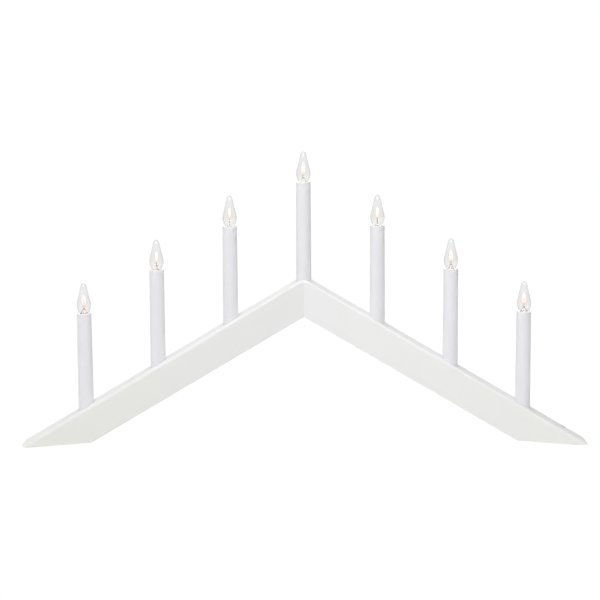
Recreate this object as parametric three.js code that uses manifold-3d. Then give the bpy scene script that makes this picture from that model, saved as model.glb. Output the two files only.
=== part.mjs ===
// Seven-light window candlestick: two mitred wooden arms form an inverted V and carry tapered candle tubes,
// each with a small screw lamp in its tip. The lamps are wired in series through a covered groove in the
// rear faces. Millimetres, +Z up, front towards -Y. The origin lies on the standing plane, below the mitre,
// at mid depth.
import * as THREE from "three";
import { mergeVertices } from "three/addons/utils/BufferGeometryUtils.js";
import Module from "manifold-3d";

// Arms
const ARM_SLOPE_DEG = 30.7;
const ARM_HEIGHT = 36; // square to the slope
const ARM_DEPTH = 34;
const TOP_EDGE_RADIUS = 4;
const LOWER_EDGE_RADIUS = 1.5;
const MITRE_GAP = 0.3;
const FOOT_OVERHANG = 71.5; // from the outer candle's axis out to the tip
const FOOT_FLAT_LENGTH = 12;
const FOOT_RELIEF_DEG = 4.5;

// Candle tubes
const CANDLES_PER_ARM = 3; // besides the one on the apex
const CANDLE_PITCH = 81.6;
const TUBE_STAND = 105.9; // above the arm's top face, on the tube's axis
const TUBE_SEAT_DEPTH = 12; // below the arm's top face, on the tube's axis
const TUBE_WALL = 1.05;
const TUBE_TAPER = 0.5; // growth in radius from the rim to the foot
const TUBE_RIM_ROUND = 0.6;
const TUBE_LIP_THICKNESS = 1.2;

// Lamp: an E10 screw cap and a flame-shaped glass
const CAP_DIAMETER = 9.5;
const CAP_WALL = 0.35;
const CAP_LENGTH = 8.5;
const CAP_RIM_FLARE = 0.2;
const CAP_TOP_DEPTH = 2.2; // below the tube's rim
const CONTACT_RADIUS = 1.9;
const CONTACT_HEIGHT = 1;
const CONTACT_SHANK = 1.2;
const GLASS_DIAMETER = 16;
const GLASS_HEIGHT = 33.5; // above the tube's rim
const GLASS_WALL = 0.6;
const GLASS_NECK_LENGTH = 3; // inside the cap
// The flame's outline, as shares of the glass radius and of its height above the rim
const FLAME_OUTLINE = [
  [0.66, 0],
  [0.94, 0.155],
  [1, 0.285],
  [0.92, 0.395],
  [0.73, 0.545],
  [0.58, 0.71],
  [0.45, 0.88],
  [0.3, 0.965],
  [0, 1],
];
const LEG_RADIUS = 0.4;
const LEG_INSET = 1.2; // from the glass to the leg's middle, at the rim
const LEG_PINCH = 0.75; // half the distance between the legs in the bead
const LEG_END_CLEARANCE = 1.5; // above the cap's floor
const BEAD_RADIUS = 1.3;
const BEAD_HEIGHT = 4.8; // above the rim
const FILAMENT_HALF_WIDTH = 1.7;
const FILAMENT_LENGTH = 15.2; // from the bead up
// Which way each lamp's legs face once it is screwed tight, from left to right
const LAMP_TURNS_DEG = [0, 75, 90, 40, 70, 35, 10];

// Lamp holder
const HOLDER_WALL = 1.25;
const HOLDER_BASE = 8;
const HOLDER_STEP = 1;
const HOLDER_TAIL = 6; // length of the narrower lower end
const LAMP_CLEARANCE = 0.4;

// Wiring
const LEAD_RADIUS = 1;
const LEAD_OFFSET = 2.2; // from the candle's axis
const LEAD_ENTRY = 5; // into the holder's base
const LEAD_CLEARANCE = 0.8;
const LEAD_BEND = 4;
const LANE_GAP = 1.7;
const GROOVE_DEPTH = 13;
const GROOVE_CENTRE = 16; // below the arm's top face, square to it
const GROOVE_OVERRUN = 4; // past the outer candle's axis

// Groove cover and cord inlet
const COVER_THICKNESS = 2.5;
const COVER_MARGIN = 1; // beside the inlet's flange
const INLET_BORE_RADIUS = 3.2;
const INLET_WALL = 1;
const INLET_FLANGE_WIDTH = 1.8;
const INLET_FLANGE_THICKNESS = 1.2;
const INLET_LENGTH = 4.5;
const INLET_TO_CANDLE = 24; // along X, from the outer candle's axis

// Mitre dowels
const DOWEL_RADIUS = 3;
const DOWEL_LENGTH = 30;
const DOWEL_INSET = 7; // from the front face
const DOWEL_WALL = 3;

// Fits and facets
const GLUE_GAP = 0.3;
const CUT_MARGIN = 10;
const MERGE_DISTANCE = 1e-4;
const ARC_STEPS = 2;
const TUBE_SIDES = 18;
const GLASS_SIDES = 14;
const SMALL_SIDES = 12;
const BEAD_RINGS = 3;
const LEAD_SIDES = 6;

// Worked-out places
const slope = THREE.MathUtils.degToRad(ARM_SLOPE_DEG);
const relief = THREE.MathUtils.degToRad(FOOT_RELIEF_DEG);
const outerCandleX = CANDLES_PER_ARM * CANDLE_PITCH;
const halfWidth = outerCandleX + FOOT_OVERHANG;
const apexZ = halfWidth * Math.tan(slope);
const innerApexZ = apexZ - ARM_HEIGHT / Math.cos(slope);
const rearY = ARM_DEPTH / 2;
const topZ = (x) => apexZ - Math.abs(x) * Math.tan(slope);
const grooveZ = (x) => topZ(x) - GROOVE_CENTRE / Math.cos(slope);
const armDown = new THREE.Vector3(Math.cos(slope), 0, -Math.sin(slope));
const armUp = new THREE.Vector3(Math.sin(slope), 0, Math.cos(slope));
const rearward = new THREE.Vector3(0, 1, 0);
const apex = new THREE.Vector3(0, 0, apexZ);

// Worked-out sizes of the lamp, its holder and the tube around them
const capRadius = CAP_DIAMETER / 2;
const capInnerRadius = capRadius - CAP_WALL;
const capRimRadius = capRadius + CAP_RIM_FLARE;
const capFloorDepth = CAP_TOP_DEPTH + CAP_LENGTH;
const neckRadius = capInnerRadius - GLUE_GAP;
const glassRadius = GLASS_DIAMETER / 2;
const glassRimRadius = FLAME_OUTLINE[0][0] * glassRadius;
const contactDepth = capFloorDepth + GLUE_GAP + CONTACT_HEIGHT;
const holderBoreRadius = capRimRadius + LAMP_CLEARANCE;
const holderRadius = holderBoreRadius + HOLDER_WALL;
const holderFloorDepth = contactDepth + GLUE_GAP;
const holderDepth = holderFloorDepth + HOLDER_BASE;
const tubeTopRadius = holderRadius + GLUE_GAP + TUBE_WALL;
const tubeFootRadius = tubeTopRadius + TUBE_TAPER;
const tubeLength = TUBE_STAND + TUBE_SEAT_DEPTH - GLUE_GAP;
const tubeLipRadius = glassRimRadius + LAMP_CLEARANCE;

// Worked-out sizes of the wiring, its groove, the cover and the inlet
const leadHoleRadius = LEAD_OFFSET + LEAD_RADIUS + LEAD_CLEARANCE;
const inletRadius = INLET_BORE_RADIUS + INLET_WALL;
const inletFlangeRadius = inletRadius + INLET_FLANGE_WIDTH;
const inletX = outerCandleX - INLET_TO_CANDLE;
const grooveWidth = 2 * (inletRadius + GLUE_GAP);
const grooveFloorY = rearY - GROOVE_DEPTH;
const grooveEnd = (outerCandleX + GROOVE_OVERRUN + GROOVE_CENTRE * Math.sin(slope)) / Math.cos(slope);
const coverWidth = 2 * (inletFlangeRadius + COVER_MARGIN);
const linkLaneY = grooveFloorY + LANE_GAP + LEAD_RADIUS;
const supplyLaneY = linkLaneY + 2 * LEAD_RADIUS + LANE_GAP;

const wasm = await Module();
wasm.setup();

// A closed geometry as a solid that can be joined and cut
function solidFrom(geometry) {
  const bare = geometry.clone();
  bare.deleteAttribute("normal");
  bare.deleteAttribute("uv");
  const merged = mergeVertices(bare, MERGE_DISTANCE);
  const mesh = new wasm.Mesh({
    numProp: 3,
    vertProperties: merged.attributes.position.array,
    triVerts: new Uint32Array(merged.index.array),
  });
  return new wasm.Manifold(mesh);
}

function geometryFrom(solid) {
  const mesh = solid.getMesh();
  const geometry = new THREE.BufferGeometry();
  geometry.setAttribute("position", new THREE.BufferAttribute(mesh.vertProperties, mesh.numProp));
  geometry.setIndex(new THREE.BufferAttribute(mesh.triVerts, 1));
  geometry.computeVertexNormals();
  return geometry;
}

function cut(geometry, tools) {
  const solid = tools.reduce((left, tool) => left.subtract(solidFrom(tool)), solidFrom(geometry));
  return geometryFrom(solid);
}

// A profile of [radius, height] points, turned about the upright axis
function turned(profile, sides) {
  const points = profile.map(([radius, height]) => new THREE.Vector2(radius, height));
  return new THREE.LatheGeometry(points, sides).rotateX(Math.PI / 2);
}

function cylinderBetween(radius, from, to, sides) {
  const along = to.clone().sub(from);
  const geometry = new THREE.CylinderGeometry(radius, radius, along.length(), sides);
  const ownAxis = new THREE.Vector3(0, 1, 0);
  const turn = new THREE.Quaternion().setFromUnitVectors(ownAxis, along.clone().normalize());
  geometry.applyQuaternion(turn);
  return geometry.translate(...from.clone().add(to).divideScalar(2));
}

// A curve whose sections lie at its own points, so that short bends and long straights both stay true
class Route extends THREE.CatmullRomCurve3 {
  getPointAt(share, target) {
    return this.getPoint(share, target);
  }

  getTangentAt(share, target) {
    return this.getTangent(share, target);
  }
}

function wireAlong(points, radius) {
  const section = new THREE.Shape().absarc(0, 0, radius, 0, 2 * Math.PI);
  const route = new Route(points.map((point) => new THREE.Vector3(...point)));
  return new THREE.ExtrudeGeometry(section, {
    steps: points.length - 1,
    extrudePath: route,
    curveSegments: LEAD_SIDES / 2,
  });
}

// Takes away all that lies on the far side of the mitre
function mitreBlock() {
  const reach = ARM_HEIGHT + CUT_MARGIN;
  const block = new THREE.BoxGeometry(2 * reach, 2 * ARM_DEPTH, 2 * apexZ);
  return block.translate(MITRE_GAP / 2 - reach, 0, apexZ);
}

// Takes away all that lies below the standing flat and the relieved underside of the foot
function footBlock() {
  const flatEndX = halfWidth - FOOT_FLAT_LENGTH;
  const reliefRun = flatEndX - outerCandleX + ARM_HEIGHT;
  const outline = new THREE.Shape();
  outline.moveTo(halfWidth + ARM_HEIGHT, 0);
  outline.lineTo(flatEndX, 0);
  outline.lineTo(flatEndX - reliefRun, reliefRun * Math.tan(relief));
  outline.lineTo(flatEndX - reliefRun, -2 * ARM_HEIGHT);
  outline.lineTo(halfWidth + ARM_HEIGHT, -2 * ARM_HEIGHT);
  const block = new THREE.ExtrudeGeometry(outline, { depth: 2 * ARM_DEPTH, bevelEnabled: false });
  return block.rotateX(Math.PI / 2).translate(0, ARM_DEPTH, 0);
}

// The bar's section: depth along X, the top face at Y = 0
function armSection() {
  const quarter = Math.PI / 2;
  const corners = [
    [rearY, -ARM_HEIGHT, LOWER_EDGE_RADIUS, -1, 1],
    [rearY, 0, TOP_EDGE_RADIUS, -1, -1],
    [-rearY, 0, TOP_EDGE_RADIUS, 1, -1],
    [-rearY, -ARM_HEIGHT, LOWER_EDGE_RADIUS, 1, 1],
  ];
  const section = new THREE.Shape();
  corners.forEach(([x, y, radius, inX, inY], index) => {
    const start = (index - 1) * quarter;
    section.absarc(x + inX * radius, y + inY * radius, radius, start, start + quarter);
  });
  return section;
}

// A slot cut into the rear face along the wiring's line, round at its lower end
function rearSlot(width, depth, proud) {
  const outline = new THREE.Shape();
  outline.moveTo(-CUT_MARGIN, -width / 2);
  outline.lineTo(grooveEnd, -width / 2);
  outline.absarc(grooveEnd, 0, width / 2, -Math.PI / 2, Math.PI / 2);
  outline.lineTo(-CUT_MARGIN, width / 2);
  const slot = new THREE.ExtrudeGeometry(outline, {
    depth: depth + proud,
    bevelEnabled: false,
    curveSegments: 2 * ARC_STEPS,
  });
  const place = new THREE.Matrix4().makeBasis(armDown, armUp, rearward.clone().negate());
  place.setPosition(armUp.clone().multiplyScalar(-GROOVE_CENTRE).add(apex).setY(rearY + proud));
  return slot.applyMatrix4(place);
}

// The seat, lead hole and cross hole below one candle
function candleHoles(x) {
  const seatFloor = new THREE.Vector3(x, 0, topZ(x) - TUBE_SEAT_DEPTH);
  const above = new THREE.Vector3(x, 0, topZ(x) + CUT_MARGIN);
  const turningPoint = new THREE.Vector3(x, 0, grooveZ(x));
  const holeFloor = turningPoint.clone().setZ(grooveZ(x) - leadHoleRadius);
  const inGroove = turningPoint.clone().setY(grooveFloorY + LEAD_CLEARANCE);
  return [
    cylinderBetween(tubeFootRadius + GLUE_GAP, seatFloor, above, TUBE_SIDES),
    cylinderBetween(leadHoleRadius, holeFloor, above, SMALL_SIDES),
    cylinderBetween(leadHoleRadius, turningPoint, inGroove, SMALL_SIDES),
  ];
}

function dowelHeights() {
  const lower = innerApexZ + DOWEL_WALL + DOWEL_RADIUS;
  const upper = apexZ - TUBE_SEAT_DEPTH - DOWEL_WALL - DOWEL_RADIUS;
  return [lower, upper];
}

function dowelAt(z, radius, length) {
  const y = DOWEL_INSET - rearY;
  const from = new THREE.Vector3(-length / 2, y, z);
  const to = new THREE.Vector3(length / 2, y, z);
  return cylinderBetween(radius, from, to, SMALL_SIDES);
}

// The right arm; the left one is its mirror image
function armGeometry() {
  const length = halfWidth / Math.cos(slope) + 2 * CUT_MARGIN;
  const bar = new THREE.ExtrudeGeometry(armSection(), {
    depth: length,
    bevelEnabled: false,
    curveSegments: ARC_STEPS,
  });
  const place = new THREE.Matrix4().makeBasis(rearward, armUp, armDown);
  place.setPosition(armDown.clone().multiplyScalar(-CUT_MARGIN).add(apex));
  bar.applyMatrix4(place);
  const tools = [mitreBlock(), footBlock()];
  tools.push(rearSlot(grooveWidth, GROOVE_DEPTH, CUT_MARGIN));
  tools.push(rearSlot(coverWidth + 2 * GLUE_GAP, COVER_THICKNESS + GLUE_GAP, CUT_MARGIN));
  for (let index = 0; index <= CANDLES_PER_ARM; index++) {
    tools.push(...candleHoles(index * CANDLE_PITCH));
  }
  for (const z of dowelHeights()) {
    tools.push(dowelAt(z, DOWEL_RADIUS + GLUE_GAP, DOWEL_LENGTH + 2 * GLUE_GAP));
  }
  return cut(bar, tools);
}

function coverGeometry(hasInlet) {
  const tools = [mitreBlock()];
  if (hasInlet) {
    const centre = new THREE.Vector3(inletX, rearY, grooveZ(inletX));
    const outside = centre.clone().setY(rearY + CUT_MARGIN);
    const inside = centre.clone().setY(rearY - CUT_MARGIN);
    const ledge = centre.clone().setY(rearY - INLET_FLANGE_THICKNESS - GLUE_GAP);
    tools.push(cylinderBetween(inletRadius + GLUE_GAP, inside, outside, SMALL_SIDES));
    tools.push(cylinderBetween(inletFlangeRadius + GLUE_GAP, ledge, outside, TUBE_SIDES));
  }
  return cut(rearSlot(coverWidth, COVER_THICKNESS, 0), tools);
}

// Flanged bush, flush with the rear face, its axis along Y
function inletGeometry() {
  const bush = turned(
    [
      [INLET_BORE_RADIUS, -INLET_LENGTH],
      [inletRadius, -INLET_LENGTH],
      [inletRadius, -INLET_FLANGE_THICKNESS],
      [inletFlangeRadius, -INLET_FLANGE_THICKNESS],
      [inletFlangeRadius, 0],
      [INLET_BORE_RADIUS, 0],
      [INLET_BORE_RADIUS, -INLET_LENGTH],
    ],
    SMALL_SIDES,
  );
  return bush.rotateX(-Math.PI / 2).translate(inletX, rearY, grooveZ(inletX));
}

// The pieces of one candle have their zero height at the tube's rim
function tubeGeometry() {
  const rim = new THREE.Path();
  rim.absarc(tubeTopRadius - TUBE_RIM_ROUND, -TUBE_RIM_ROUND, TUBE_RIM_ROUND, 0, Math.PI / 2);
  return turned(
    [
      [tubeFootRadius, -tubeLength],
      ...rim.getPoints(ARC_STEPS / 2).map((point) => point.toArray()),
      [tubeLipRadius, 0],
      [tubeLipRadius, -TUBE_LIP_THICKNESS],
      [tubeTopRadius - TUBE_WALL, -TUBE_LIP_THICKNESS],
      [tubeFootRadius - TUBE_WALL, -tubeLength],
      [tubeFootRadius, -tubeLength],
    ],
    TUBE_SIDES,
  );
}

function holderGeometry() {
  const top = -TUBE_LIP_THICKNESS - GLUE_GAP;
  const step = HOLDER_TAIL - holderDepth;
  const body = turned(
    [
      [0, -holderDepth],
      [holderRadius - HOLDER_STEP, -holderDepth],
      [holderRadius - HOLDER_STEP, step],
      [holderRadius, step],
      [holderRadius, top],
      [holderBoreRadius, top],
      [holderBoreRadius, -holderFloorDepth],
      [0, -holderFloorDepth],
    ],
    SMALL_SIDES,
  );
  const leadHoles = [-1, 1].map((side) => {
    const mouth = new THREE.Vector3(side * LEAD_OFFSET, 0, -holderDepth - CUT_MARGIN);
    const end = mouth.clone().setZ(-holderDepth + LEAD_ENTRY + GLUE_GAP);
    return cylinderBetween(LEAD_RADIUS + GLUE_GAP, mouth, end, LEAD_SIDES + 2);
  });
  return cut(body, leadHoles);
}

// Screw cap: a thin cup with a hole for the contact in its floor
function capGeometry() {
  const holeRadius = CONTACT_RADIUS + GLUE_GAP;
  const bottom = -capFloorDepth;
  const flareTop = -CAP_TOP_DEPTH;
  const flareFoot = flareTop - 2 * CAP_RIM_FLARE;
  return turned(
    [
      [holeRadius, bottom],
      [capRadius - CAP_WALL, bottom],
      [capRadius, bottom + 2 * CAP_WALL],
      [capRadius, flareFoot],
      [capRimRadius, flareTop],
      [capInnerRadius, flareTop],
      [capInnerRadius, bottom + 2 * CAP_WALL],
      [capInnerRadius - CAP_WALL, bottom + CAP_WALL],
      [holeRadius, bottom + CAP_WALL],
      [holeRadius, bottom],
    ],
    SMALL_SIDES,
  );
}

// Solder button below the cap's floor, with a shank through it
function contactGeometry() {
  const buttonTop = -capFloorDepth - GLUE_GAP;
  return turned(
    [
      [0, -contactDepth],
      [CONTACT_RADIUS, -contactDepth],
      [CONTACT_RADIUS + GLUE_GAP, buttonTop - CONTACT_HEIGHT / 2],
      [CONTACT_RADIUS + GLUE_GAP, buttonTop],
      [CONTACT_RADIUS, buttonTop],
      [CONTACT_RADIUS, buttonTop + CONTACT_SHANK],
      [0, buttonTop + CONTACT_SHANK],
    ],
    LEAD_SIDES + 4,
  );
}

// Thin-walled flame, open at the neck
function glassGeometry() {
  const stations = [[neckRadius, -CAP_TOP_DEPTH]];
  for (const [radiusShare, heightShare] of FLAME_OUTLINE) {
    stations.push([radiusShare * glassRadius, heightShare * GLASS_HEIGHT]);
  }
  const outline = new THREE.SplineCurve(stations.map((station) => new THREE.Vector2(...station)));
  const last = stations.length - 1;
  const neckFoot = -CAP_TOP_DEPTH - GLASS_NECK_LENGTH;
  const outer = [[neckRadius, neckFoot], ...stations];
  const inner = [[neckRadius - GLASS_WALL, neckFoot]];
  stations.slice(0, last).forEach(([radius, height], index) => {
    const along = outline.getTangent(index / last);
    inner.push([radius - GLASS_WALL * along.y, height + GLASS_WALL * along.x]);
  });
  inner.push([0, GLASS_HEIGHT - GLASS_WALL]);
  return turned([...inner.reverse(), ...outer], GLASS_SIDES);
}

// One bent wire: up one leg, through the bead, over the filament's arch and down the other leg
function filamentGeometry() {
  const legNeck = neckRadius - GLASS_WALL - GLUE_GAP - LEG_RADIUS;
  const legSpread = glassRimRadius - GLASS_WALL - LEG_INSET;
  const archTop = BEAD_HEIGHT + FILAMENT_LENGTH;
  const half = [
    [legNeck, -capFloorDepth + LEG_END_CLEARANCE],
    [legNeck, -CAP_TOP_DEPTH],
    [legSpread, 0],
    [LEG_PINCH, BEAD_HEIGHT],
    [FILAMENT_HALF_WIDTH, BEAD_HEIGHT + FILAMENT_LENGTH / 3],
    [FILAMENT_HALF_WIDTH / 2, archTop - FILAMENT_LENGTH / 6],
  ];
  const up = half.map(([x, z]) => [-x, 0, z]);
  const down = half.map(([x, z]) => [x, 0, z]).reverse();
  const wire = solidFrom(wireAlong([...up, [0, 0, archTop], ...down], LEG_RADIUS));
  const bead = new THREE.SphereGeometry(BEAD_RADIUS, LEAD_SIDES, BEAD_RINGS);
  bead.rotateX(Math.PI / 2).translate(0, 0, BEAD_HEIGHT);
  return geometryFrom(wire.add(solidFrom(bead)));
}

// The points of a lead from a holder down through the arm and into its lane in the groove.
// side is where it leaves the holder, heading is the way it then runs: -1 to the left, 1 to the right.
function drop(candleX, side, heading, laneY) {
  const x = candleX + side * LEAD_OFFSET;
  const holderZ = topZ(candleX) + TUBE_STAND - holderDepth;
  const turnZ = grooveZ(x);
  const turnInX = x + heading * LEAD_BEND;
  return [
    [x, 0, holderZ + LEAD_ENTRY],
    [x, 0, topZ(candleX)],
    [x, 0, turnZ + LEAD_BEND / 2],
    [x, LEAD_BEND / 2, turnZ],
    [x, laneY - LEAD_RADIUS, turnZ],
    [turnInX, laneY, grooveZ(turnInX)],
  ];
}

function linkGeometry(candleX) {
  const nextX = candleX + CANDLE_PITCH;
  const start = drop(candleX, 1, 1, linkLaneY);
  const end = drop(nextX, -1, -1, linkLaneY);
  return wireAlong([...start, ...end.reverse()], LEAD_RADIUS);
}

// From the left outer candle, over the apex, to the inlet
function returnGeometry() {
  const start = drop(-outerCandleX, -1, 1, supplyLaneY);
  const overApex = [-LEAD_BEND, 0, LEAD_BEND].map((x) => [x, supplyLaneY, grooveZ(x)]);
  const endX = inletX - LEAD_RADIUS;
  return wireAlong([...start, ...overApex, [endX, supplyLaneY, grooveZ(endX)]], LEAD_RADIUS);
}

// From the right outer candle back to the inlet
function feedGeometry() {
  const start = drop(outerCandleX, 1, -1, supplyLaneY);
  const endX = inletX + LEAD_RADIUS;
  return wireAlong([...start, [endX, supplyLaneY, grooveZ(endX)]], LEAD_RADIUS);
}

const paint = new THREE.MeshStandardMaterial({ color: 0xf2f2ee, roughness: 0.55 });
const beech = new THREE.MeshStandardMaterial({ color: 0xd8b98a, roughness: 0.7 });
const tubePlastic = new THREE.MeshStandardMaterial({ color: 0xf3f2f4, roughness: 0.4 });
const holderPlastic = new THREE.MeshStandardMaterial({ color: 0xe6e2d8, roughness: 0.5 });
const inletPlastic = new THREE.MeshStandardMaterial({ color: 0xe9e9e6, roughness: 0.35 });
const leadPlastic = new THREE.MeshStandardMaterial({ color: 0xf0eee8, roughness: 0.45 });
const brass = new THREE.MeshStandardMaterial({ color: 0xb9974a, roughness: 0.3, metalness: 1 });
const solder = new THREE.MeshStandardMaterial({ color: 0xa9abad, roughness: 0.4, metalness: 1 });
const clearGlass = new THREE.MeshStandardMaterial({
  color: 0xffffff,
  roughness: 0.03,
  transparent: true,
  opacity: 0.25,
});
const glowingWire = new THREE.MeshStandardMaterial({
  color: 0xb9a58a,
  roughness: 0.4,
  metalness: 1,
  emissive: 0xffb873,
  emissiveIntensity: 1,
});

const candlestick = new THREE.Group();

function addPiece(parent, name, geometry, material) {
  const mesh = new THREE.Mesh(geometry, material);
  mesh.name = name;
  parent.add(mesh);
  return mesh;
}

const arm = armGeometry();
addPiece(candlestick, "arm_left", arm, paint).scale.x = -1;
addPiece(candlestick, "arm_right", arm, paint);
addPiece(candlestick, "groove_cover_left", coverGeometry(false), paint).scale.x = -1;
addPiece(candlestick, "groove_cover_right", coverGeometry(true), paint);
addPiece(candlestick, "cord_inlet", inletGeometry(), inletPlastic);
const dowelNames = ["mitre_dowel_lower", "mitre_dowel_upper"];
dowelHeights().forEach((z, index) => {
  addPiece(candlestick, dowelNames[index], dowelAt(z, DOWEL_RADIUS, DOWEL_LENGTH), beech);
});

const candlePieces = [
  ["candle_tube", tubeGeometry(), tubePlastic],
  ["lamp_holder", holderGeometry(), holderPlastic],
  ["bulb_glass", glassGeometry(), clearGlass],
  ["bulb_cap", capGeometry(), brass],
  ["bulb_contact", contactGeometry(), solder],
];
const candleCount = 2 * CANDLES_PER_ARM + 1;
for (let number = 1; number <= candleCount; number++) {
  const x = (number - 1 - CANDLES_PER_ARM) * CANDLE_PITCH;
  const candle = new THREE.Group();
  candle.position.set(x, 0, topZ(x) + TUBE_STAND);
  for (const [name, geometry, material] of candlePieces) {
    addPiece(candle, `${name}_${number}`, geometry, material);
  }
  const turn = LAMP_TURNS_DEG[(number - 1) % LAMP_TURNS_DEG.length];
  const filament = addPiece(candle, `bulb_filament_${number}`, filamentGeometry(), glowingWire);
  filament.rotation.z = THREE.MathUtils.degToRad(turn);
  candlestick.add(candle);
  if (number < candleCount) {
    addPiece(candlestick, `link_lead_${number}`, linkGeometry(x), leadPlastic);
  }
}
addPiece(candlestick, "return_lead", returnGeometry(), leadPlastic);
addPiece(candlestick, "feed_lead", feedGeometry(), leadPlastic);

export default candlestick;
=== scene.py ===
"""Looks of a seven-light window candlestick, dressed over its CAD frame: painted wooden arms, candle tubes
and small lit screw lamps. Metres, +Z up, front towards -Y."""
import math

import bmesh
import bpy
from mathutils import Matrix, Vector


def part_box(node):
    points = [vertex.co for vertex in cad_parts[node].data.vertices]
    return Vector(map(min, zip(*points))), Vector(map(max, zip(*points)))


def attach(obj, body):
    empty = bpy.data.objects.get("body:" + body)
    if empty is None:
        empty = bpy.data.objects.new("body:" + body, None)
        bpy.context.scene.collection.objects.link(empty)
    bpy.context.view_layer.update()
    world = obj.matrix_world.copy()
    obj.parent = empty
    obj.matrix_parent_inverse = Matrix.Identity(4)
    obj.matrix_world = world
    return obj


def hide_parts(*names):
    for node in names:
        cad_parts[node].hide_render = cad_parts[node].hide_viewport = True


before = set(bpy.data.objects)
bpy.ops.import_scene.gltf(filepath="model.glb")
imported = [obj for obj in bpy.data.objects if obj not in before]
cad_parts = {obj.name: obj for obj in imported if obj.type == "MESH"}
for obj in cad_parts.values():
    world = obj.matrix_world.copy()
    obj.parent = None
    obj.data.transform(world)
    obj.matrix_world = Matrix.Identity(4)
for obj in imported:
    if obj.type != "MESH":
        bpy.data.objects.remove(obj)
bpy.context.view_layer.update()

MM = 0.001

# Camera, at the photograph's viewing angle
CAMERA_SIDE = -1.2 * MM
CAMERA_DISTANCE = 1.25
CAMERA_HEIGHT = 0.3945
CAMERA_PITCH = math.radians(5.73)
CAMERA_ROLL = math.radians(-0.27)
CAMERA_LENS = 68.35
CAMERA_SHIFT = (-0.0039, -0.16)

# Arms
arm_low, arm_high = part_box("arm_right")
HALF_WIDTH = arm_high.x
ARM_DEPTH = arm_high.y - arm_low.y
ARM_SLOPE = math.atan2(arm_high.z, HALF_WIDTH - arm_low.x)
APEX_Z = HALF_WIDTH * math.tan(ARM_SLOPE)
REAR_Y = arm_high.y
ARM_HEIGHT = 36 * MM
TOP_EDGE_RADIUS = 4 * MM
LOWER_EDGE_RADIUS = 0.8 * MM
# Next to the apex the front top edge's rounding narrows to a share of its size, over a length
APEX_EDGE_SHARE = 0.45
APEX_EDGE_LENGTH = 150 * MM
APEX_RADIUS = 13 * MM
EASED_EDGE = 0.35 * MM
SEAM_GAP = 0.02 * MM
FOOT_FLAT_LENGTH = 12 * MM
FOOT_RELIEF = math.radians(4.5)
CUT_OVERRUN = 10 * MM

# Wiring groove in the rear face, its cover and the cord inlet
GROOVE_CENTRE = 16 * MM
GROOVE_WIDTH = 9 * MM
GROOVE_DEPTH = 13 * MM
GROOVE_OVERRUN = 4 * MM
# Just under half a slot's width, so that the two arcs of its round end don't quite meet
ROUND_END_SHARE = 0.499
COVER_WIDTH = 14 * MM
COVER_THICKNESS = 2.5 * MM
FIT_GAP = 0.3 * MM
SNUG_GAP = 0.05 * MM
INLET_BORE_RADIUS = 3.2 * MM
INLET_RADIUS = 4.2 * MM
INLET_FLANGE_RADIUS = 6 * MM
INLET_FLANGE_THICKNESS = 1.2 * MM
INLET_LENGTH = 4.5 * MM
INLET_ROUND = 0.5 * MM
LEAD_HOLE_RADIUS = 4 * MM

# Cover screws: where they sit along the cover, and shares of their radius for the small forms
SCREW_SHARES = (0.09, 0.5, 0.985)
SCREW_RADIUS = 2.1 * MM
SCREW_DEPTH = 1.6 * MM
SCREW_TIP_SHARE = 0.45
SCREW_LAND = 0.25 * MM
SCREW_CROWN = 0.12 * MM
CROWN_MIDDLE_SHARE = 0.6
CROWN_MIDDLE_DEPTH = 0.3 * SCREW_CROWN
RECESS_SPAN_SHARE = 1.25
RECESS_WIDTH_SHARE = 0.3
RECESS_DEPTH = 1.1 * MM

# Candles, numbered from left to right
FIRST_LAMP = 1
MIDDLE_LAMP = 4
LAST_LAMP = 7
LAMP_NUMBERS = range(FIRST_LAMP, LAST_LAMP + 1)

# Candle tubes, heights from the rim
TUBE_TOP_RADIUS = 7.95 * MM
TUBE_FOOT_RADIUS = 8.45 * MM
TUBE_WALL = 1.05 * MM
TUBE_LIP_RADIUS = 5.5 * MM
TUBE_LIP_THICKNESS = 1.2 * MM
TUBE_LIP_ROUND = 0.3 * MM
TUBE_RIM_ROUND = 0.7 * MM
TUBE_SEAT_DEPTH = 12 * MM
tube_low, tube_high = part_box("candle_tube_4")
TUBE_LENGTH = tube_high.z - tube_low.z

# Lamp holders, heights from the rim
HOLDER_RADIUS = 6.6 * MM
HOLDER_BORE_RADIUS = 5.35 * MM
HOLDER_FLOOR_DEPTH = 12.3 * MM
HOLDER_DEPTH = 20.3 * MM
HOLDER_STEP = 1 * MM
HOLDER_TAIL = 6 * MM
HOLDER_CHAMFER = 0.4 * MM

# Lamp caps and contacts, heights from the rim
CAP_TOP_DEPTH = 2.2 * MM
CAP_LENGTH = 8.5 * MM
CAP_FLOOR = -CAP_TOP_DEPTH - CAP_LENGTH
CAP_WALL = 0.3 * MM
CAP_RIM_RADIUS = 4.95 * MM
CAP_FLARE_START = 0.5 * MM
CAP_SHOULDER_HEIGHT = 0.8 * MM
CAP_SHOULDER_WIDTH = 0.6 * MM
THREAD_PITCH = 1.814 * MM
THREAD_MAJOR_RADIUS = 4.75 * MM
THREAD_MINOR_RADIUS = 4.3 * MM
THREAD_ABOVE_FLOOR = 1.5 * MM
THREAD_BELOW_RIM = 1.2 * MM
CONTACT_RADIUS = 2.1 * MM
CONTACT_DEPTH = 12 * MM
CONTACT_SHANK_SHARE = 0.8
CONTACT_SHANK_HEIGHT = 0.5 * MM
CONTACT_PEAK_HEIGHT = 0.9 * MM

# Lamp glass, heights from the rim
GLASS_RADIUS = 8.1 * MM
GLASS_HEIGHT = 33.6 * MM
GLASS_WALL = 0.45 * MM
GLASS_NECK_RADIUS = 4.1 * MM
GLASS_NECK_LENGTH = 3 * MM
# The flame's outline, as shares of the glass radius and of its height above the rim
FLAME_OUTLINE = [
    (0.66, 0),
    (0.94, 0.155),
    (1, 0.285),
    (0.92, 0.395),
    (0.73, 0.545),
    (0.58, 0.71),
    (0.45, 0.88),
    (0.3, 0.965),
    (0, 1),
]
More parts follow.
